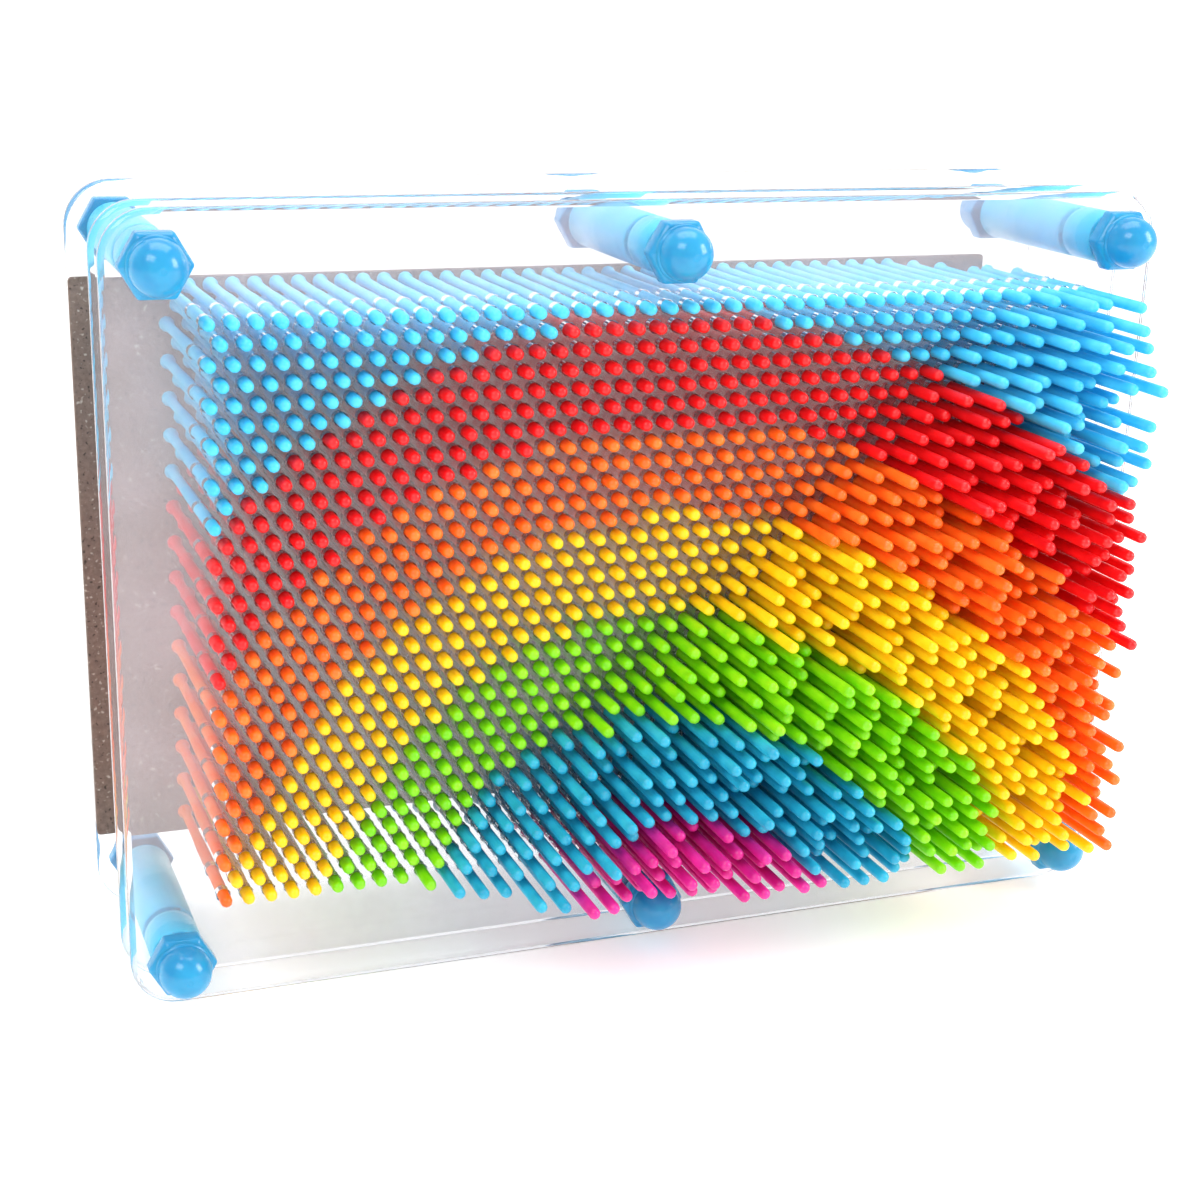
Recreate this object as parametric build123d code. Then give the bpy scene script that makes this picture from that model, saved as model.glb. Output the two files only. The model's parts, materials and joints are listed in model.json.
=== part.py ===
from build123d import *
import math
import os
import random

# Pin art impression toy: two perforated guide plates and a clear cover on six posts,
# with 1287 loose pins that slide through both guide plates.
# Frame: X along the long side, -Y the face the pin tips come out of, +Z up.
# Origin: on the standing face, in the middle of the width, under the middle of the rear guide plate.

# Plates
plateWidth = 200.0
plateHeight = 142.6
plateThickness = 3.0
cornerRadius = 8.5
edgeRound = 1.0

# Posts
shortGap = 8.8            # between the two guide plates
longGap = 28.4            # between the rear guide plate and the cover
postInset = 8.8           # from the plate's edges to a post's axis
postColumns = (-1, 0, 1)
postRows = (0, 1)
spacerRadius = 4.9
spacerBore = 2.2
spacerChamfer = 0.3
rodRadius = 2.0
rodHoleRadius = 2.2

# Cap nuts
nutAcrossFlats = 10.8
nutHexHeight = 3.7
nutDomeRadius = 4.75
nutDomeCentre = 5.0       # height of the dome's centre above the plate
nutBoreRadius = 2.03
nutBoreDepth = 7.0
nutFaceRadius = 5.3       # flat left on each face by the corner chamfer
nutChamferAngle = 30.0
rodEndClearance = 0.5

# Pin field: long rows and rows of one pin fewer, half a pitch over
pinPitch = 4.1
rowSpacing = 3.45
rowCount = 31
longRowPins = 42
pinHoleRadius = 1.25
fieldShift = 1.0          # the field sits this far to +X of the plate's middle
fieldRise = 0.9           # and this far above it

# Pins
pinRadius = 1.1
neckRadius = 0.95
frontLength = 26.0        # full-diameter length, from the start of the dome
taperLength = 6.0
headRadius = 1.45
headDisc = 0.6
headFlare = 1.0
tipStand = 3.6            # how far a fully drawn-back tip stands out of the front plate

# Backing board
boardThickness = 1.2
boardGap = 0.1
boardLeft = -100.0
boardRight = 87.4
boardBottom = 16.3
boardTop = 125.6
boardCorner = 0.8

# Rainbow bands, as distances from a centre low in the middle of the plate
bandCentreHeight = 1.9
bands = (
    ("magenta", 30.0),
    ("blue", 48.0),
    ("green", 65.5),
    ("yellow", 84.3),
    ("orange", 101.3),
    ("red", 120.3),
    ("sky", math.inf),
)

# Relief: which pins stand forward, and how far
reliefSeed = 7
reliefEdgeLow = -50.0     # X at which the pins begin to stand out, in the bottom row
reliefEdgeHigh = 65.0     # the same in the top row
reliefDepth = 25.5
reliefRun = 21.0          # distance over which the relief builds up
reliefScatter = 0.17
levelStep = 6.5            # pins within one step of each other slide as one group
smallestReach = 0.4       # left between a standing pin and each end of its travel

# Positions along Y
frontFace = -(plateThickness + shortGap + plateThickness / 2)
frontPlateRear = frontFace + plateThickness
rearGuideFront = frontPlateRear + shortGap
rearGuideRear = rearGuideFront + plateThickness
coverFront = rearGuideRear + longGap
coverRear = coverFront + plateThickness
boardRear = coverFront - boardGap
boardFront = boardRear - boardThickness
tipBack = frontFace - tipStand
headBack = boardFront - boardGap
pinLength = headBack - tipBack
headStop = headDisc + headFlare * (headRadius - pinHoleRadius) / (headRadius - neckRadius) + boardGap
pinTravel = headBack - (rearGuideRear + headStop)
samePlace = 1e-6


def postPlaces():
    """The six post axes as (x, z)."""
    halfSpan = plateWidth / 2 - postInset
    span = plateHeight - 2 * postInset
    return [(column * halfSpan, postInset + row * span) for row in postRows for column in postColumns]


def pinPlaces():
    """Every pin axis as (x, z), from the top row down."""
    places = []
    for row in range(rowCount):
        count = longRowPins - row % 2
        height = plateHeight / 2 + fieldRise + ((rowCount - 1) / 2 - row) * rowSpacing
        for column in range(count):
            places.append((fieldShift + (column - (count - 1) / 2) * pinPitch, height))
    return places


def bandOf(x, z):
    """The name of the rainbow band that a pin stands in."""
    distance = math.hypot(x, z - bandCentreHeight)
    for name, outer in bands:
        if distance < outer:
            return name


def reachOf(x, z, rng):
    """How far a pin stands forward of its drawn-back place."""
    fieldHeight = (rowCount - 1) * rowSpacing
    bottomRow = plateHeight / 2 + fieldRise - fieldHeight / 2
    climb = (z - bottomRow) / fieldHeight
    edge = reliefEdgeLow + climb * (reliefEdgeHigh - reliefEdgeLow)
    scatter = rng.gauss(1.0, reliefScatter)
    if x < edge:
        return 0.0
    reach = reliefDepth * (1 - math.exp(-(x - edge) / reliefRun)) * scatter
    return min(max(reach, smallestReach), pinTravel - smallestReach)


def plate(front, holes):
    """A rounded plate with its front face at Y = front, and through holes as (x, z, radius)."""
    outline = RectangleRounded(plateWidth, plateHeight, cornerRadius)
    outer = outline.face().outer_wire().moved(Location((0, plateHeight / 2, 0)))
    inner = [Wire.make_circle(radius, Plane((x, z, 0))) for x, z, radius in holes]
    slab = extrude(Face(outer, inner), amount=plateThickness)
    rims = [edge for edge in slab.edges() if flatRim(edge) and (longSide(edge) or cornerArc(edge))]
    slab = slab.fillet(edgeRound, rims)
    return slab.rotate(Axis.X, 90).moved(Location((0, front + plateThickness, 0)))


def flatRim(edge):
    """True for an edge that lies in one of the two broad faces."""
    return edge.bounding_box().size.Z < samePlace


def longSide(edge):
    return edge.geom_type == GeomType.LINE


def cornerArc(edge):
    return edge.geom_type == GeomType.CIRCLE and abs(edge.radius - cornerRadius) < samePlace


def ring(length, outerRadius, boreRadius, chamferSize):
    """A sleeve along +Y from Y = 0, with chamfered outer ends."""
    c = chamferSize
    corners = [
        (boreRadius, 0),
        (outerRadius - c, 0),
        (outerRadius, c),
        (outerRadius, length - c),
        (outerRadius - c, length),
        (boreRadius, length),
    ]
    return revolve(make_face(Polyline(*corners, close=True)), Axis.Y)


def capNut():
    """A domed hexagon nut that stands on Y = 0 and points along -Y."""
    cornerReach = nutAcrossFlats / math.sqrt(3)
    drop = (cornerReach - nutFaceRadius) * math.tan(math.radians(nutChamferAngle))
    hexagon = extrude(Plane.XZ * RegularPolygon(nutAcrossFlats / 2, 6, major_radius=False), nutHexHeight)
    barrel = [
        (0, 0),
        (nutFaceRadius, 0),
        (cornerReach, -drop),
        (cornerReach, -nutHexHeight + drop),
        (nutFaceRadius, -nutHexHeight),
        (0, -nutHexHeight),
    ]
    flange = hexagon & revolve(make_face(Polyline(*barrel, close=True)), Axis.Y)
    middle = nutDomeRadius * math.sqrt(0.5)
    side = Line((nutDomeRadius, -nutHexHeight / 2), (nutDomeRadius, -nutDomeCentre))
    dome = ThreePointArc(
        (nutDomeRadius, -nutDomeCentre),
        (middle, -nutDomeCentre - middle),
        (0, -nutDomeCentre - nutDomeRadius),
    )
    axis = Line((0, -nutDomeCentre - nutDomeRadius), (0, -nutHexHeight / 2))
    base = Line((0, -nutHexHeight / 2), (nutDomeRadius, -nutHexHeight / 2))
    cap = revolve(make_face(Curve() + [side, dome, axis, base]), Axis.Y)
    bore = extrude(Plane.XZ * Circle(nutBoreRadius), nutBoreDepth)
    return (flange + cap - bore).solid()


def pin():
    """One pin with its dome's tip at Y = 0 and its head at +Y."""
    straightEnd = pinRadius + frontLength
    taperEnd = straightEnd + taperLength
    flareStart = pinLength - headDisc - headFlare
    middle = pinRadius * math.sqrt(0.5)
    dome = ThreePointArc((0, 0), (middle, pinRadius - middle), (pinRadius, pinRadius))
    side = Polyline(
        (pinRadius, pinRadius),
        (pinRadius, straightEnd),
        (neckRadius, taperEnd),
        (neckRadius, flareStart),
        (headRadius, flareStart + headFlare),
        (headRadius, pinLength),
        (0, pinLength),
        (0, 0),
    )
    return revolve(make_face(Curve() + [dome, side]), Axis.Y).solid()


def board():
    """The plain sheet that closes the back, just in front of the cover."""
    width = boardRight - boardLeft
    height = boardTop - boardBottom
    sheet = extrude(Plane.XZ * RectangleRounded(width, height, boardCorner), -boardThickness)
    return sheet.moved(Location(((boardLeft + boardRight) / 2, boardFront, (boardBottom + boardTop) / 2)))


def atPosts(piece, y):
    """One copy of a piece at each post, moved to Y = y."""
    return Compound([piece.moved(Location((x, y, z))) for x, z in postPlaces()])


def pinGroups():
    """Pins by band and by how far they stand forward: {node name: [(x, z, reach)]}."""
    rng = random.Random(reliefSeed)
    groups = {}
    for x, z in pinPlaces():
        reach = reachOf(x, z, rng)
        level = 0 if reach == 0 else 1 + int(reach // levelStep)
        groups.setdefault(f"pins_{bandOf(x, z)}_level_{level}", []).append((x, z, reach))
    return groups


def write(name, piece):
    """One STEP file per named piece."""
    piece.label = name
    export_step(piece, f"parts/{name}.step")


os.makedirs("parts", exist_ok=True)

postHoles = [(x, z, rodHoleRadius) for x, z in postPlaces()]
pinHoles = [(x, z, pinHoleRadius) for x, z in pinPlaces()]
guide = plate(0, postHoles + pinHoles)
write("guide_plate_front", guide.moved(Location((0, frontFace, 0))))
write("guide_plate_rear", guide.moved(Location((0, rearGuideFront, 0))))
write("cover_plate", plate(coverFront, postHoles))

shortSpacer = ring(shortGap, spacerRadius, spacerBore, spacerChamfer)
longSpacer = ring(longGap, spacerRadius, spacerBore, spacerChamfer)
write("spacers_short", atPosts(shortSpacer, frontPlateRear))
write("spacers_long", atPosts(longSpacer, rearGuideRear))

nut = capNut()
write("cap_nuts_front", atPosts(nut, frontFace))
write("cap_nuts_rear", atPosts(nut.rotate(Axis.Z, 180), coverRear))

rodOverhang = nutBoreDepth - rodEndClearance
rod = extrude(Plane.XZ * Circle(rodRadius), -(coverRear - frontFace + 2 * rodOverhang))
write("tie_rods", atPosts(rod, frontFace - rodOverhang))

write("backing_board", board())

onePin = pin()
for name, places in pinGroups().items():
    write(name, Compound([onePin.moved(Location((x, tipBack - reach, z))) for x, z, reach in places]))
    reaches = [reach for _, _, reach in places]
    print(name, len(places), "pins, reach", round(min(reaches), 2), "to", round(max(reaches), 2))
print("pin travel", round(pinTravel, 2), "pin length", round(pinLength, 2))
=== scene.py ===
import json
import math
import random

import bmesh
import bpy
from mathutils import Matrix, Vector

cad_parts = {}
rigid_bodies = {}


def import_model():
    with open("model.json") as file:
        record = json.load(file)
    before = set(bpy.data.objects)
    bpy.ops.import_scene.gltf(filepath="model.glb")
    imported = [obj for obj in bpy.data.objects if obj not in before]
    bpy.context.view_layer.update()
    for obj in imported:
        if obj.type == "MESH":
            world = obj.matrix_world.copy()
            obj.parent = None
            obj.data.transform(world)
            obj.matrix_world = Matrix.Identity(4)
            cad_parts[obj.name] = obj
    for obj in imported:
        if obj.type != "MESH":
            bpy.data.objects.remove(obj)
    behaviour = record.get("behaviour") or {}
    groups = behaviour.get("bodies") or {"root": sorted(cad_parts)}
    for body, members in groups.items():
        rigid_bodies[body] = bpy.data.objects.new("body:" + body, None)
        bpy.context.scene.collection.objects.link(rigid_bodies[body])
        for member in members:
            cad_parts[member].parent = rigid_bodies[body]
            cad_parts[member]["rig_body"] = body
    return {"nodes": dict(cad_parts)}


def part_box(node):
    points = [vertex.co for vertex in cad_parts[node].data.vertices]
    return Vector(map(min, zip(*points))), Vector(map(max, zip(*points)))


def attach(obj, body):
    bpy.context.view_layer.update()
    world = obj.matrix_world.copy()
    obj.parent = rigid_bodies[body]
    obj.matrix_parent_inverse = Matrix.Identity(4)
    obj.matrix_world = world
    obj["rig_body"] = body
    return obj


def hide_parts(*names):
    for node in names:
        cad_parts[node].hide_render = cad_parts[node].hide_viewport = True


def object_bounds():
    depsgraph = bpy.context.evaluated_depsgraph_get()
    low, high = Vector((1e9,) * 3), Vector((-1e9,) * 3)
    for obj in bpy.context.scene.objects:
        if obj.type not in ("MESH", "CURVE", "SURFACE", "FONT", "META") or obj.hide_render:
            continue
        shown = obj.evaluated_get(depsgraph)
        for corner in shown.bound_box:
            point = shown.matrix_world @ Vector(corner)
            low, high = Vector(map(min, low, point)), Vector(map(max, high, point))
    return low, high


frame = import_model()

# Pin art toy: two drilled clear guide plates and a clear cover on six blue posts,
# a grey backing board, and rainbow rows of loose moulded pins.
cadLow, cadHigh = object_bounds()
mm = 0.001
print("frame loaded:", len(frame["nodes"]), "nodes")


def hexColour(code):  # sRGB hex to the linear colour that a shader takes
    channels = [int(code[i:i + 2], 16) / 255 for i in (1, 3, 5)]
    linear = [c / 12.92 if c <= 0.04045 else ((c + 0.055) / 1.055) ** 2.4 for c in channels]
    return (*linear, 1.0)


def addNode(tree, kind, settings=None, links=None):  # one node with its settings and its links
    node = tree.nodes.new(kind)
    for name, value in (settings or {}).items():
        if name == "ramp":
            for stop, (place, colour) in zip(node.color_ramp.elements, value):
                stop.position = place
                stop.color = hexColour(colour)
        elif isinstance(name, int) or name in node.inputs:
            node.inputs[name].default_value = value
        else:
            setattr(node, name, value)
    for name, source in (links or {}).items():
        tree.links.new(source, node.inputs[name])
    return node


def startMaterial(name):  # an empty material and the output of its object coordinates
    material = bpy.data.materials.new(name)
    material.use_nodes = True
    material.node_tree.nodes.clear()
    spot = addNode(material.node_tree, "ShaderNodeTexCoord")
    return material, material.node_tree, spot.outputs["Object"]


def closeMaterial(tree, shader):
    addNode(tree, "ShaderNodeOutputMaterial", links={"Surface": shader.outputs[0]})


# Clear acrylic

acrylic = {
    "tint": "#fbfdff",
    "shadowTint": "#eef2f6",
    "ior": 1.49,              # cast acrylic
    "smooth": 0.0,            # roughness of the polish, and of the faint rubbed haze
    "haze": 0.035,
    "hazeRange": (0.45, 0.8),
    "hazeSize": 14.0,         # mm across a patch of haze
    "waveSize": 60.0,         # mm between the slow waves of a cast sheet
    "waveDepth": 0.02,        # mm
    "waveStrength": 0.5,
    "veil": "#f6e4ee",        # painted reflection of a bright softbox, with light scattered back by dust and fine rub marks
    "veilLeast": 0.03,        # share of this veil of painted reflection and dust, from clean to rubbed patches
    "veilMost": 0.10,
    "veilRange": (0.35, 0.7),
}


# Cast acrylic sheet, laser cut and flame polished: clear as glass, with a slow waviness that
# bends what shows through it, and patches of haze from handling.
def makeAcrylic():
    material, tree, spot = startMaterial("castAcrylicPolished")
    patches = addNode(tree, "ShaderNodeTexNoise",
                      {"Scale": 1 / (acrylic["hazeSize"] * mm), "Detail": 6.0, "Roughness": 0.65},
                      {"Vector": spot})
    low, high = acrylic["hazeRange"]
    haze = addNode(tree, "ShaderNodeMapRange",
                   {"From Min": low, "From Max": high, "To Min": acrylic["smooth"],
                    "To Max": acrylic["haze"]}, {"Value": patches.outputs["Fac"]})
    waves = addNode(tree, "ShaderNodeTexNoise",
                    {"Scale": 1 / (acrylic["waveSize"] * mm), "Detail": 1.0}, {"Vector": spot})
    bend = addNode(tree, "ShaderNodeBump",
                   {"Strength": acrylic["waveStrength"], "Distance": acrylic["waveDepth"] * mm},
                   {"Height": waves.outputs["Fac"]})
    glass = addNode(tree, "ShaderNodeBsdfPrincipled",
                    {"Base Color": hexColour(acrylic["tint"]), "IOR": acrylic["ior"],
                     "Transmission Weight": 1.0},
                    {"Roughness": haze.outputs["Result"], "Normal": bend.outputs["Normal"]})
    # A thin milky veil, partly dust from handling and partly a painted reflection of a bright softbox,
    # lifts and softens what stands behind the sheet
    # Diffuse layer standing in for the softbox's reflection in the plates, with some dust: painted
    # reflection
    dustAndPaintedReflection = addNode(tree, "ShaderNodeBsdfDiffuse", {"Color": hexColour(acrylic["veil"])})
    low, high = acrylic["veilRange"]
    share = addNode(tree, "ShaderNodeMapRange",
                    {"From Min": low, "From Max": high, "To Min": acrylic["veilLeast"],
                     "To Max": acrylic["veilMost"]}, {"Value": patches.outputs["Fac"]})
    sheet = addNode(tree, "ShaderNodeMixShader",
                    links={0: share.outputs["Result"], 1: glass.outputs[0], 2: dustAndPaintedReflection.outputs[0]})
    # Light passes straight through to what stands behind, so a plate throws next to no shadow
    through = addNode(tree, "ShaderNodeBsdfTransparent", {"Color": hexColour(acrylic["shadowTint"])})
    path = addNode(tree, "ShaderNodeLightPath")
    shader = addNode(tree, "ShaderNodeMixShader",
                     links={0: path.outputs["Is Shadow Ray"], 1: sheet.outputs[0], 2: through.outputs[0]})
    closeMaterial(tree, shader)
    return material


# Moulded plastics

plastic = {
    "ior": 1.50,
    "mottleSize": 5.0,        # mm, uneven colour from one pin to the next
    "grainSize": 0.35,        # mm, the fine skin of a moulded surface, drawn coarse enough to show
    "grainDepth": 0.004,      # mm
    "grainStrength": 0.6,
    "polishSpread": (-0.05, 0.07),  # how far the roughness strays from its middle
    "glowDepth": 1.2,         # mm that light travels inside the plastic
}


# Injection-moulded polypropylene: a satin skin with a soft wide gleam, a little milky inside,
# so edges and tips glow and the shaded sides stay rich in colour.
def makePlastic(name, colours, roughness, glow):
    light, deep, inside = colours
    material, tree, spot = startMaterial(name)
    mottle = addNode(tree, "ShaderNodeTexNoise",
                     {"Scale": 1 / (plastic["mottleSize"] * mm), "Detail": 2.0}, {"Vector": spot})
    tone = addNode(tree, "ShaderNodeValToRGB", {"ramp": ((0.35, deep), (0.65, light))},
                   {"Fac": mottle.outputs["Fac"]})
    grain = addNode(tree, "ShaderNodeTexNoise",
                    {"Scale": 1 / (plastic["grainSize"] * mm), "Detail": 3.0}, {"Vector": spot})
    skin = addNode(tree, "ShaderNodeBump",
                   {"Strength": plastic["grainStrength"], "Distance": plastic["grainDepth"] * mm},
                   {"Height": grain.outputs["Fac"]})
    smoother, rougher = plastic["polishSpread"]
    polish = addNode(tree, "ShaderNodeMapRange",
                     {"From Min": 0.3, "From Max": 0.7, "To Min": roughness + smoother,
                      "To Max": roughness + rougher}, {"Value": grain.outputs["Fac"]})
    shader = addNode(tree, "ShaderNodeBsdfPrincipled",
                     {"IOR": plastic["ior"], "Subsurface Weight": glow,
                      "Subsurface Radius": hexColour(inside)[:3],
                      "Subsurface Scale": plastic["glowDepth"] * mm},
                     {"Base Color": tone.outputs["Color"], "Roughness": polish.outputs["Result"],
                      "Normal": skin.outputs["Normal"]})
    closeMaterial(tree, shader)
    return material


# Grey board

greyBoard = {
    "pulp": ("#6c5d55", "#8a776d"),
    "fleck": "#c2bbb0",
    "dark": "#39342f",
    "fibreSize": 1.1,         # mm along a clump of pulp
    "fleckSize": 0.8,         # mm between light and dark flecks
    "fibreDepth": 0.02,       # mm
}


# Grey chipboard made of mixed waste paper: matt, uneven, flecked light and dark.
def makeGreyBoard():
    material, tree, spot = startMaterial("greyChipboard")
    pulp = addNode(tree, "ShaderNodeTexNoise",
                   {"Scale": 1 / (greyBoard["fibreSize"] * mm), "Detail": 8.0, "Roughness": 0.7},
                   {"Vector": spot})
    low, high = greyBoard["pulp"]
    body = addNode(tree, "ShaderNodeValToRGB", {"ramp": ((0.32, low), (0.68, high))},
                   {"Fac": pulp.outputs["Fac"]})
    specks = addNode(tree, "ShaderNodeTexNoise",
                     {"Scale": 1 / (greyBoard["fleckSize"] * mm), "Detail": 2.0, "Roughness": 0.4},
                     {"Vector": spot})
    pale = addNode(tree, "ShaderNodeMapRange", {"From Min": 0.64, "From Max": 0.74, "To Max": 0.75},
                   {"Value": specks.outputs["Fac"]})
    black = addNode(tree, "ShaderNodeMapRange",
                    {"From Min": 0.36, "From Max": 0.28, "To Min": 0.0, "To Max": 0.8},
                    {"Value": specks.outputs["Fac"]})
    withPale = addNode(tree, "ShaderNodeMix", {"data_type": "RGBA", 7: hexColour(greyBoard["fleck"])},
                       {0: pale.outputs["Result"], 6: body.outputs["Color"]})
    flecked = addNode(tree, "ShaderNodeMix", {"data_type": "RGBA", 7: hexColour(greyBoard["dark"])},
                      {0: black.outputs["Result"], 6: withPale.outputs[2]})
    tooth = addNode(tree, "ShaderNodeBump", {"Strength": 0.8, "Distance": greyBoard["fibreDepth"] * mm},
                    {"Height": pulp.outputs["Fac"]})
    shader = addNode(tree, "ShaderNodeBsdfPrincipled", {"Roughness": 0.92, "IOR": 1.45},
                     {"Base Color": flecked.outputs[2], "Normal": tooth.outputs["Normal"]})
    closeMaterial(tree, shader)
    return material


# Rod metal

rodMetal = {
    "steel": ("#a9acb0", "#d3d6d8"),
    "threadPitch": 0.7,       # mm, an M4 thread
    "threadDepth": 0.12,      # mm
    "blotchSize": 3.0,        # mm
    "polish": (0.25, 0.45),   # roughness, bright to dull
}


# Zinc-plated steel threaded rod: bright, slightly blotched plating over fine rings of thread.
def makeRodMetal():
    material, tree, spot = startMaterial("zincPlatedSteel")
    blotch = addNode(tree, "ShaderNodeTexNoise",
                     {"Scale": 1 / (rodMetal["blotchSize"] * mm), "Detail": 4.0}, {"Vector": spot})
    low, high = rodMetal["steel"]
    tone = addNode(tree, "ShaderNodeValToRGB", {"ramp": ((0.3, low), (0.7, high))},
                   {"Fac": blotch.outputs["Fac"]})
    # A wave texture repeats every 2 pi / 20 of its coordinate for each unit of scale
    thread = addNode(tree, "ShaderNodeTexWave",
                     {"bands_direction": "Y", "Scale": 2 * math.pi / 20 / (rodMetal["threadPitch"] * mm)},
                     {"Vector": spot})
    rings = addNode(tree, "ShaderNodeBump", {"Strength": 1.0, "Distance": rodMetal["threadDepth"] * mm},
                    {"Height": thread.outputs["Fac"]})
    bright, dull = rodMetal["polish"]
    rough = addNode(tree, "ShaderNodeMapRange", {"To Min": bright, "To Max": dull},
                    {"Value": blotch.outputs["Fac"]})
    shader = addNode(tree, "ShaderNodeBsdfPrincipled", {"Metallic": 1.0},
                     {"Base Color": tone.outputs["Color"], "Roughness": rough.outputs["Result"],
                      "Normal": rings.outputs["Normal"]})
    closeMaterial(tree, shader)
    return material


# Each plastic has its light tone, its deep tone and the tint of the light inside it
pinColours = {
    "sky": ("#56d2f8", "#40c4f0", "#90e4ff"),
    "red": ("#f2191e", "#e00f18", "#ff3828"),
    "orange": ("#ff7f26", "#ff6a14", "#ff8a40"),
    "yellow": ("#ffdc1c", "#ffca08", "#ffe050"),
    "green": ("#96e410", "#78d408", "#b0ff50"),
    "blue": ("#30b8d8", "#1ea0c4", "#60ccf0"),
    "magenta": ("#e62e9e", "#cc1a86", "#ff60b8"),
}
postColours = ("#289cce", "#1e8ec4", "#60ccff")
sleeveColours = ("#3ccef4", "#30c4ee", "#90e8ff")
finish = {  # roughness, and the share of light that enters the plastic
    "nut": (0.19, 0.25),
    "sleeve": (0.3, 0.4),
    "pin": (0.34, 0.25),
}

slotMaterials = {
    "clear_acrylic": makeAcrylic(),
    "grey_board": makeGreyBoard(),
    "rod_metal": makeRodMetal(),
    "post_plastic": makePlastic("mouldedBluePolypropylene", postColours, *finish["nut"]),
}
sleevePlastic = makePlastic("extrudedBlueSleeve", sleeveColours, *finish["sleeve"])
for band, colours in pinColours.items():
    name = "moulded" + band.capitalize() + "Pin"
    slotMaterials["pin_" + band] = makePlastic(name, colours, *finish["pin"])
print("materials made:", len(slotMaterials))


# Shared steps for a piece

weld = {"profile": 0.0005 * mm, "cells": 0.01 * mm}  # points closer than this become one, or lie level
flatTop = 0.9999          # the least Y of the normal of a face that counts as flat


def spinProfile(points, steps, closed=False):  # (radius, y) points turned about the Y axis
    shape = bmesh.new()
    verts = [shape.verts.new((radius, y, 0)) for radius, y in points]
    pairs = list(zip(verts, verts[1:]))
    if closed:
        pairs.append((verts[-1], verts[0]))
    edges = [shape.edges.new(pair) for pair in pairs]
    bmesh.ops.spin(shape, geom=verts + edges, cent=(0, 0, 0), axis=(0, 1, 0),
                   angle=2 * math.pi, steps=steps, use_merge=True)
    bmesh.ops.remove_doubles(shape, verts=shape.verts, dist=weld["profile"])
    bmesh.ops.recalc_face_normals(shape, faces=shape.faces)
    return shape


def toMesh(shape, name):
    mesh = bpy.data.meshes.new(name)
    shape.to_mesh(mesh)
    shape.free()
    return mesh


def stamp(shape, mesh, places):  # a copy of mesh at each of the matrices
    for place in places:
        copy = mesh.copy()
        copy.transform(place)
        shape.from_mesh(copy, face_normals=False, vertex_normals=False)
        bpy.data.meshes.remove(copy)


def addPiece(shape, name, nodes, slotName, sharpAngle):
    level = 0.0001
    for face in shape.faces:
        face.smooth = True
    shape.normal_update()
    for edge in shape.edges:
        flats = [abs(face.normal.y) > flatTop for face in edge.link_faces]
        turn = edge.calc_face_angle(math.pi)
        edge.smooth = turn < math.radians(sharpAngle) and (len(set(flats)) == 1 or turn < level)
    piece = bpy.data.objects.new(name, toMesh(shape, name))
    bpy.context.scene.collection.objects.link(piece)
    piece.data.materials.append(slotMaterials[slotName])
    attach(piece, frame["nodes"][nodes[0]]["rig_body"])
    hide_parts(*nodes)
    return piece


# Plates

plateShape = {
    "cornerRadius": 8.5 * mm,
    "cornerSteps": 10,
    "edgeRound": 1.0 * mm,
    "edgeCuts": 11,           # rings across the rounded edge
    "postHole": 2.2 * mm,
    "postHoleSteps": 28,
    "pinHole": 1.25 * mm,
    "pinHoleSteps": 16,
    "rimCut": 0.12 * mm,      # the edge of each pin hole, softened by the laser
    "holeEdge": 0.6 * mm,     # longer than any edge around a pin hole
    "fieldEdge": 1.0 * mm,    # shorter than any edge around the field of bricks
    "rimZone": 4.0 * mm,      # how far in from the rim its rounding is made
    "sharpAngle": 40,
}
pinField = {
    "pitch": 4.1 * mm,
    "rowStep": 3.45 * mm,
    "rows": 31,
    "longRow": 42,
    "shift": 1.0 * mm,        # the field sits a little to one side of the plate's middle
    "rise": 0.9 * mm,
}
guideLow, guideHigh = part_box("guide_plate_front")
sleeveLow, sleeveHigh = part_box("spacers_short")
sleeveRadius = 4.9 * mm
postPlaces = [(x, z)
              for z in (sleeveLow.z + sleeveRadius, sleeveHigh.z - sleeveRadius)
              for x in (sleeveLow.x + sleeveRadius, 0.0, sleeveHigh.x - sleeveRadius)]


def rowStart(row):  # the x of a row's first pin; every other row is one pin shorter
    return pinField["shift"] - (pinField["longRow"] - row % 2 - 1) / 2 * pinField["pitch"]


def rowHeight(row):
    middle = (guideLow.z + guideHigh.z) / 2 + pinField["rise"]
    return middle + ((pinField["rows"] - 1) / 2 - row) * pinField["rowStep"]


def pinAxes():
    return [(rowStart(row) + column * pinField["pitch"], rowHeight(row))
            for row in range(pinField["rows"])
            for column in range(pinField["longRow"] - row % 2)]


def drilledCell():  # one brick of the plate with its hole; six corners meet the bricks around it
    cell = bmesh.new()
    halfWide, halfHigh = pinField["pitch"] / 2, pinField["rowStep"] / 2
    corners = [(-halfWide, -halfHigh), (0, -halfHigh), (halfWide, -halfHigh),
               (halfWide, halfHigh), (0, halfHigh), (-halfWide, halfHigh)]
    verts = [cell.verts.new((x, 0, z)) for x, z in corners]
    rim = [cell.edges.new(pair) for pair in zip(verts, verts[1:] + verts[:1])]
    ring = bmesh.ops.create_circle(cell, segments=plateShape["pinHoleSteps"], radius=plateShape["pinHole"],
                                   matrix=Matrix.Rotation(math.pi / 2, 4, "X"))
    hole = {edge for vert in ring["verts"] for edge in vert.link_edges}
    bmesh.ops.triangle_fill(cell, edges=rim + list(hole), use_beauty=True)
    return toMesh(cell, "drilledCell")


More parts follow.
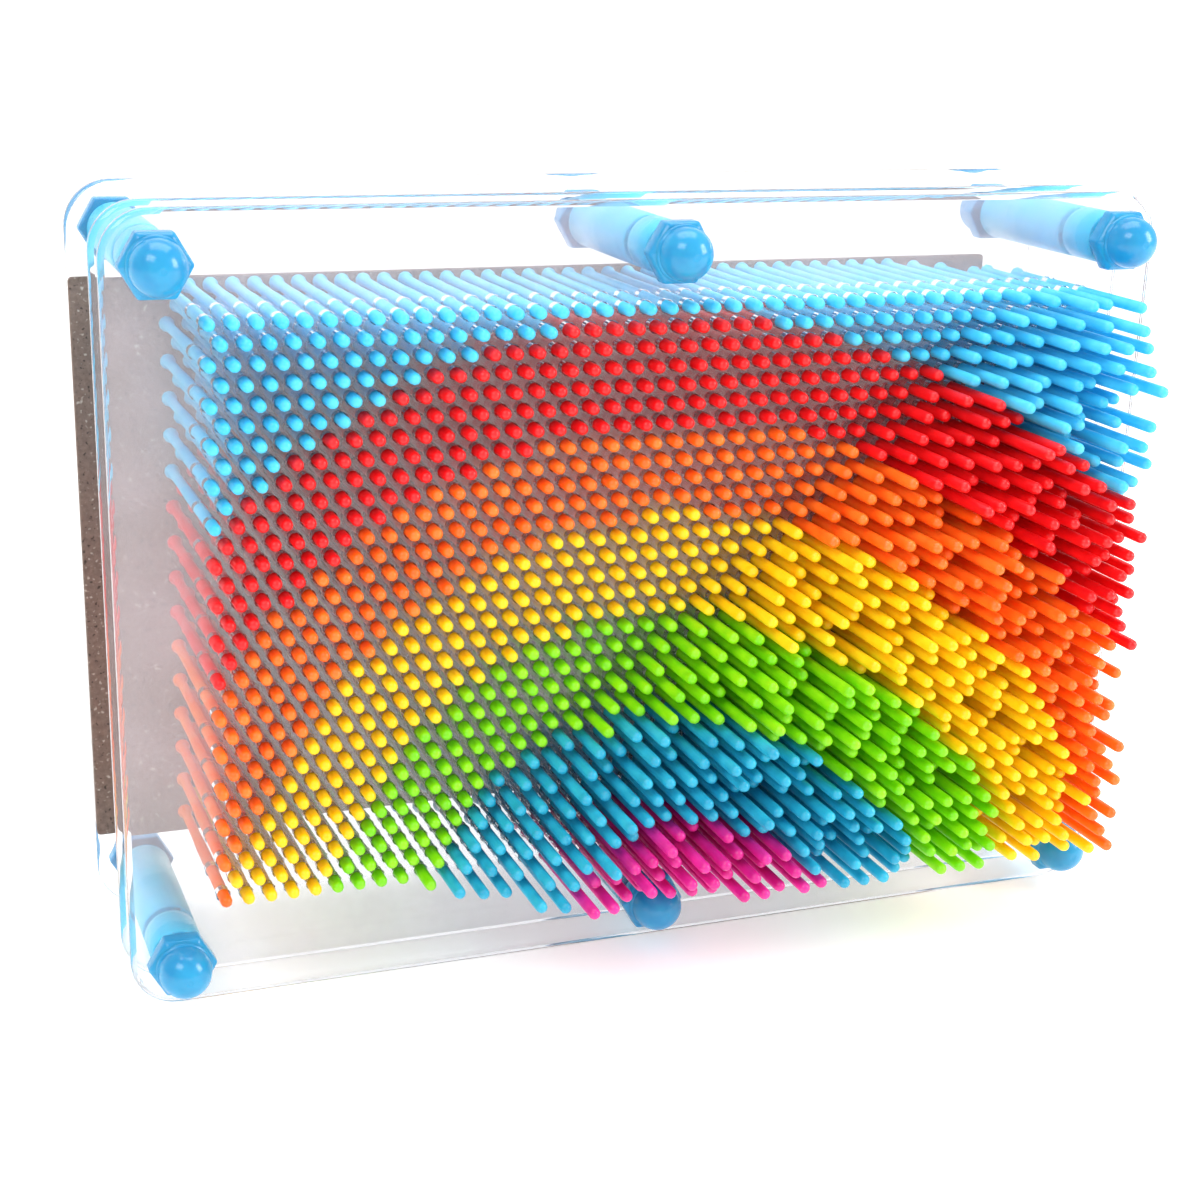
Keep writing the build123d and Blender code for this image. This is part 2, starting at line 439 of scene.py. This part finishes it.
def makePlate(node, drilled):
    low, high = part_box(node)
    inset = plateShape["edgeRound"]
    radius = plateShape["cornerRadius"]
    sheet = bmesh.new()
    if drilled:
        cell = drilledCell()
        stamp(sheet, cell, [Matrix.Translation((x, low.y, z)) for x, z in pinAxes()])
        bmesh.ops.remove_doubles(sheet, verts=sheet.verts, dist=weld["cells"])
    # The long boundary edges are the field's outline; the short ones are the holes
    rims = [edge for edge in sheet.edges
            if edge.is_boundary and edge.calc_length() > plateShape["fieldEdge"]]
    upright = Matrix.Rotation(math.pi / 2, 4, "X")
    middle = Matrix.Translation(((low.x + high.x) / 2, low.y, (low.z + high.z) / 2))
    flatSize = Matrix.Diagonal((high.x - low.x - 2 * inset, high.z - low.z - 2 * inset, 1, 1))
    outline = bmesh.ops.create_grid(sheet, x_segments=1, y_segments=1, size=0.5,
                                    matrix=middle @ upright @ flatSize)
    panel = outline["verts"][0].link_faces[0]
    before = set(sheet.edges) - set(panel.edges)
    bmesh.ops.bevel(sheet, geom=outline["verts"], affect="VERTICES", offset=radius - inset,
                    segments=plateShape["cornerSteps"], profile=0.5, material=-1)
    outlineEdges = list(set(sheet.edges) - before)
    wholePanel = [face for face in sheet.faces if len(face.verts) > 2 * plateShape["cornerSteps"]]
    bmesh.ops.delete(sheet, geom=wholePanel, context="FACES_ONLY")
    rims += outlineEdges
    for x, z in postPlaces:
        ring = bmesh.ops.create_circle(sheet, segments=plateShape["postHoleSteps"],
                                       radius=plateShape["postHole"],
                                       matrix=Matrix.Translation((x, low.y, z)) @ upright)
        rims += list({edge for vert in ring["verts"] for edge in vert.link_edges})
    bmesh.ops.triangle_fill(sheet, edges=rims, use_beauty=True)
    bmesh.ops.recalc_face_normals(sheet, faces=sheet.faces)
    thick = bmesh.ops.extrude_face_region(sheet, geom=sheet.faces[:] + sheet.edges[:], use_keep_orig=True)
    moved = [part for part in thick["geom"] if isinstance(part, bmesh.types.BMVert)]
    bmesh.ops.translate(sheet, verts=moved, vec=(0, high.y - low.y, 0))
    # The front edge of each pin hole is melted slightly round, and glints
    if drilled:
        rims = [edge for edge in sheet.edges
                if edge.calc_length() < plateShape["holeEdge"] and abs(edge.calc_face_angle(0)) > 1
                and max(vert.co.y for vert in edge.verts) < low.y + weld["cells"]]
        bmesh.ops.bevel(sheet, geom=rims, affect="EDGES", offset=plateShape["rimCut"], segments=1,
                        profile=0.5, material=-1)
    # The rim is cut into rings, and each ring swells out to round the edge
    halfWide, halfHigh = (high.x - low.x) / 2, (high.z - low.z) / 2
    centre = (low + high) / 2

    def nearRim(point):
        fromSides = halfWide - abs(point.x - centre.x)
        fromEnds = halfHigh - abs(point.z - centre.z)
        return min(fromSides, fromEnds) < plateShape["rimZone"]

    across = [edge for edge in sheet.edges
              if abs(edge.verts[0].co.y - edge.verts[1].co.y) > inset and nearRim(edge.verts[0].co)]
    bmesh.ops.subdivide_edges(sheet, edges=across, cuts=plateShape["edgeCuts"], use_grid_fill=True)
    for vert in sheet.verts:
        depth = min(vert.co.y - low.y, high.y - vert.co.y)
        if nearRim(vert.co) and depth > weld["cells"]:
            turn = Vector((math.copysign(halfWide - radius, vert.co.x - centre.x), 0,
                           math.copysign(halfHigh - radius, vert.co.z - centre.z)))
            arc = Vector((centre.x, vert.co.y, centre.z)) + turn
            fall = max(0.0, 1 - depth / inset)
            vert.co += (vert.co - arc).normalized() * inset * math.sqrt(1 - fall * fall)
    bmesh.ops.recalc_face_normals(sheet, faces=sheet.faces)
    return addPiece(sheet, node + "_clear", [node], "clear_acrylic", plateShape["sharpAngle"])


for node in ("guide_plate_front", "guide_plate_rear"):
    piece = makePlate(node, True)
    print(piece.name, len(piece.data.polygons), "faces")
piece = makePlate("cover_plate", False)
print(piece.name, len(piece.data.polygons), "faces")


# Posts

sleeveShape = {"bore": 2.2 * mm, "rounded": 0.35 * mm, "steps": 48, "sharpAngle": 50}
nutShape = {
    "acrossFlats": 10.8 * mm,
    "hexHeight": 3.7 * mm,
    "hexSoftness": 0.35 * mm,
    "crownCut": 0.75 * mm,    # the slope cut on the front corners of the hexagon
    "domeRadius": 4.75 * mm,
    "domeCentre": 5.0 * mm,
    "collarRadius": 5.1 * mm,
    "collarCorner": 0.25 * mm,  # heights above the hexagon of the collar's corner, slope and foot
    "collarSlope": 0.45 * mm,
    "collarFoot": 0.6 * mm,
    "collarDraw": 0.12 * mm,
    "gateRadius": 0.55 * mm,  # the small mark where the mould was filled
    "gateStep": 0.07 * mm,
    "steps": 40,
    "domeRings": 9,
    "sharpAngle": 50,
}


def makeSleeves(node):
    low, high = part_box(node)
    soft = sleeveShape["rounded"]
    half = soft * (1 - math.sqrt(0.5))
    profile = [(sleeveShape["bore"], low.y), (sleeveRadius - soft, low.y),
               (sleeveRadius - half, low.y + half), (sleeveRadius, low.y + soft),
               (sleeveRadius, high.y - soft), (sleeveRadius - half, high.y - half),
               (sleeveRadius - soft, high.y), (sleeveShape["bore"], high.y)]
    one = toMesh(spinProfile(profile, sleeveShape["steps"], closed=True), "oneSleeve")
    shape = bmesh.new()
    stamp(shape, one, [Matrix.Translation((x, 0, z)) for x, z in postPlaces])
    piece = addPiece(shape, node + "_moulded", [node], "post_plastic", sleeveShape["sharpAngle"])
    piece.data.materials[0] = sleevePlastic


def oneNut():  # stands on y = 0 and points along -Y
    n = nutShape
    hexagon = bmesh.new()
    reach = n["acrossFlats"] / math.sqrt(3)
    lying = Matrix.Translation((0, -n["hexHeight"] / 2, 0)) @ Matrix.Rotation(math.pi / 2, 4, "X")
    bmesh.ops.create_cone(hexagon, cap_ends=True, segments=6, radius1=reach, radius2=reach,
                          depth=n["hexHeight"], matrix=lying @ Matrix.Rotation(math.pi / 2, 4, "Z"))
    front = [edge for edge in hexagon.edges
             if all(vert.co.y < -n["hexHeight"] + 0.1 * mm for vert in edge.verts)]
    bmesh.ops.bevel(hexagon, geom=front, affect="EDGES", offset=n["crownCut"], segments=1,
                    profile=0.5, material=-1)
    bmesh.ops.bevel(hexagon, geom=hexagon.edges[:], affect="EDGES", offset=n["hexSoftness"], segments=3,
                    profile=0.5, material=-1)
    top = -n["hexHeight"]
    peak = -n["domeCentre"] - n["domeRadius"]
    profile = [(0, top / 2), (n["collarRadius"], top / 2),
               (n["collarRadius"], top - n["collarCorner"]),
               (n["collarRadius"] - n["collarDraw"], top - n["collarSlope"]),
               (n["domeRadius"], top - n["collarFoot"]), (n["domeRadius"], -n["domeCentre"])]
    for ring in range(1, n["domeRings"]):
        angle = ring / n["domeRings"] * math.pi / 2
        profile.append((n["domeRadius"] * math.cos(angle),
                        -n["domeCentre"] - n["domeRadius"] * math.sin(angle)))
    profile += [(n["gateRadius"], peak + n["gateStep"] / 2),
                (n["gateRadius"] * 0.8, peak + n["gateStep"]), (0, peak + n["gateStep"])]
    dome = toMesh(spinProfile(profile, n["steps"]), "oneDome")
    hexagon.from_mesh(dome)
    return toMesh(hexagon, "oneNut")


def makeNuts(node, facing):  # facing 1 points along -Y, and -1 along +Y
    low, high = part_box(node)
    seat = high.y if facing > 0 else low.y
    turn = Matrix.Rotation(0 if facing > 0 else math.pi, 4, "Z")
    shape = bmesh.new()
    stamp(shape, oneNut(), [Matrix.Translation((x, seat, z)) @ turn for x, z in postPlaces])
    addPiece(shape, node + "_moulded", [node], "post_plastic", nutShape["sharpAngle"])


for node in ("spacers_short", "spacers_long"):
    makeSleeves(node)
makeNuts("cap_nuts_front", 1)
makeNuts("cap_nuts_rear", -1)
rods = frame["nodes"]["tie_rods"].data.materials  # the rods are shown by their CAD node itself
rods.clear()
rods.append(slotMaterials["rod_metal"])
print("posts made")


# Backing board

boardShape = {"cornerRadius": 0.8 * mm, "edgeSoftness": 0.2 * mm, "sharpAngle": 40}


def makeBoard():
    low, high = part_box("backing_board")
    shape = bmesh.new()
    size = Matrix.Diagonal((high.x - low.x, high.y - low.y, high.z - low.z, 1))
    bmesh.ops.create_cube(shape, size=1.0, matrix=Matrix.Translation((low + high) / 2) @ size)
    corners = [edge for edge in shape.edges
               if abs(edge.verts[0].co.y - edge.verts[1].co.y) > 0.5 * (high.y - low.y)]
    bmesh.ops.bevel(shape, geom=corners, affect="EDGES", offset=boardShape["cornerRadius"], segments=4,
                    profile=0.5, material=-1)
    faces = [face for face in shape.faces if abs(face.normal.y) > 0.9]
    rims = list({edge for face in faces for edge in face.edges})
    bmesh.ops.bevel(shape, geom=rims, affect="EDGES", offset=boardShape["edgeSoftness"], segments=2,
                    profile=0.5, material=-1)
    addPiece(shape, "backing_board_grey", ["backing_board"], "grey_board", boardShape["sharpAngle"])


makeBoard()
print("board made")


# Pins

pinShape = {
    "radius": 1.1 * mm,
    "neck": 0.95 * mm,
    "straightEnd": 27.1 * mm,
    "taperEnd": 33.1 * mm,
    "length": 45.4 * mm,
    "head": 1.45 * mm,
    "disc": 0.6 * mm,
    "flare": 1.0 * mm,
    "steps": 10,
    "domeAngles": (30, 60, 90),  # degrees from the tip of the dome to each of its rings
    "sharpAngle": 50,
    "sway": 0.01,             # degrees that a pin leans in its two holes
    "lean": 0.02,             # the most that leaves it clear of them at every place in its travel
    "seed": 11,
}


def onePin():  # its tip at the origin and its head along +Y
    p = pinShape
    flareStart = p["length"] - p["disc"] - p["flare"]
    profile = [(0, 0)]
    for angle in p["domeAngles"]:
        a = math.radians(angle)
        profile.append((p["radius"] * math.sin(a), p["radius"] * (1 - math.cos(a))))
    profile += [(p["radius"], p["straightEnd"]), (p["neck"], p["taperEnd"]), (p["neck"], flareStart),
                (p["head"], flareStart + p["flare"]), (p["head"], p["length"]), (0, p["length"])]
    return toMesh(spinProfile(profile, p["steps"]), "onePin")


def tipsOf(node):  # where each of a CAD node's pins has its tip
    tips = {}
    for vert in frame["nodes"][node].data.vertices:
        x, y, z = vert.co
        row = round((rowHeight(0) - z) / pinField["rowStep"])
        column = round((x - rowStart(row)) / pinField["pitch"])
        if y < tips.get((row, column), 1.0):
            tips[row, column] = y
    return [(rowStart(row) + column * pinField["pitch"], y, rowHeight(row))
            for (row, column), y in sorted(tips.items())]


pinMesh = onePin()
chance = random.Random(pinShape["seed"])
pivot = (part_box("guide_plate_front")[0].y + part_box("guide_plate_rear")[1].y) / 2


def pinMatrix(x, y, z):  # a pin leans about the middle of its two holes
    most = pinShape["lean"]
    droop, sway = (max(-most, min(most, chance.gauss(0, pinShape["sway"]))) for turn in range(2))
    lean = Matrix.Rotation(math.radians(droop), 4, "X") @ Matrix.Rotation(math.radians(sway), 4, "Z")
    spin = Matrix.Rotation(chance.uniform(0, 2 * math.pi), 4, "Y")
    hole = Matrix.Translation((x, pivot, z))
    return hole @ lean @ Matrix.Translation((0, y - pivot, 0)) @ spin


pinCount = 0
for node in sorted(frame["nodes"]):
    if node.startswith("pins_"):
        tips = tipsOf(node)
        shape = bmesh.new()
        stamp(shape, pinMesh, [pinMatrix(*tip) for tip in tips])
        slotName = "pin_" + node.split("_")[1]
        addPiece(shape, node + "_moulded", [node], slotName, pinShape["sharpAngle"])
        pinCount += len(tips)
print("pins made:", pinCount)


# Studio

studio = {
    "floor": "#f2f1ef",
    "glow": 0.45,             # the sheet is lit from behind, like a light table
    "floorDrop": 0.2 * mm,
    "halfWidth": 2.5,
    "front": -2.5,
    "back": 1.4,
    "sweep": 0.6,
    "sweepSteps": 12,
    "height": 2.0,
    "sky": "#ffffff",
    "skyStrength": 0.75,
}


def makeSweep():  # a paper roll: flat floor that curves up behind
    shape = bmesh.new()
    drop = -studio["floorDrop"]
    back, radius, steps = studio["back"], studio["sweep"], studio["sweepSteps"]
    path = [(studio["front"], drop), (back, drop)]
    for step in range(1, steps + 1):
        a = step / steps * math.pi / 2
        path.append((back + radius * math.sin(a), drop + radius * (1 - math.cos(a))))
    path.append((back + radius, studio["height"]))
    verts = [shape.verts.new((-studio["halfWidth"], y, z)) for y, z in path]
    edges = [shape.edges.new(pair) for pair in zip(verts, verts[1:])]
    swept = bmesh.ops.extrude_edge_only(shape, edges=edges)
    moved = [part for part in swept["geom"] if isinstance(part, bmesh.types.BMVert)]
    bmesh.ops.translate(shape, verts=moved, vec=(2 * studio["halfWidth"], 0, 0))
    for face in shape.faces:
        face.smooth = True
    floor = bpy.data.objects.new("paperSweep", toMesh(shape, "paperSweep"))
    bpy.context.scene.collection.objects.link(floor)
    material, tree, spot = startMaterial("whiteBackgroundPaper")
    tooth = addNode(tree, "ShaderNodeTexNoise", {"Scale": 900.0, "Detail": 3.0}, {"Vector": spot})
    grain = addNode(tree, "ShaderNodeBump", {"Strength": 0.05, "Distance": 0.02 * mm},
                    {"Height": tooth.outputs["Fac"]})
    shader = addNode(tree, "ShaderNodeBsdfPrincipled",
                     {"Base Color": hexColour(studio["floor"]), "Roughness": 0.9, "Specular IOR Level": 0.2,
                      "Emission Color": hexColour("#fffdfa"), "Emission Strength": studio["glow"]},
                     {"Normal": grain.outputs["Normal"]})
    closeMaterial(tree, shader)
    floor.data.materials.append(material)


lamps = {
    "softboxLeft": {"place": (-0.55, -0.45, 0.75), "size": (0.5, 0.35), "watts": 3.0, "colour": "#ffffff"},
    "softboxRight": {"place": (0.75, -0.45, 0.45), "size": (0.35, 0.5), "watts": 5.0, "colour": "#fffaf5"},
    "softboxTop": {"place": (0.05, 0.15, 1.0), "size": (0.9, 0.6), "watts": 5.5, "colour": "#ffffff"},
}


def makeLamps(target):
    for name, lamp in lamps.items():
        data = bpy.data.lights.new(name, "AREA")
        data.shape = "RECTANGLE"
        data.size, data.size_y = lamp["size"]
        data.energy = lamp["watts"]
        data.color = hexColour(lamp["colour"])[:3]
        light = bpy.data.objects.new(name, data)
        light.location = lamp["place"]
        light.rotation_euler = (target - light.location).to_track_quat("-Z", "Y").to_euler()
        bpy.context.scene.collection.objects.link(light)


view = {
    "lens": 60.06,
    "place": (-0.14214, -0.33970, 0.18142),
    "azimuth": 20.29,
    "pitch": 18.82,
    "roll": 1.47,
    "shift": (0.0412, 0.0365),
}


def makeCamera():
    data = bpy.data.cameras.new("studioCamera")
    data.lens = view["lens"]
    data.sensor_width = 36.0
    data.shift_x, data.shift_y = view["shift"]
    data.clip_start = 0.01
    camera = bpy.data.objects.new("studioCamera", data)
    a, p, r = (math.radians(view[key]) for key in ("azimuth", "pitch", "roll"))
    ahead = Vector((math.sin(a) * math.cos(p), math.cos(a) * math.cos(p), -math.sin(p)))
    level = Vector((math.cos(a), -math.sin(a), 0))
    above = level.cross(ahead)
    side = math.cos(r) * level + math.sin(r) * above
    up = math.cos(r) * above - math.sin(r) * level
    turn = Matrix((side, up, -ahead)).transposed().to_4x4()
    camera.matrix_world = Matrix.Translation(view["place"]) @ turn
    bpy.context.scene.collection.objects.link(camera)
    bpy.context.scene.camera = camera


def makeWorld():
    world = bpy.data.worlds.new("softSky")
    world.use_nodes = True
    world.node_tree.nodes.clear()
    sky = addNode(world.node_tree, "ShaderNodeBackground",
                  {"Color": hexColour(studio["sky"]), "Strength": studio["skyStrength"]})
    addNode(world.node_tree, "ShaderNodeOutputWorld", links={"Surface": sky.outputs[0]})
    bpy.context.scene.world = world


makeSweep()
makeLamps((cadLow + cadHigh) / 2)
makeCamera()
makeWorld()
bpy.context.scene.view_settings.view_transform = "Standard"
print("studio made")
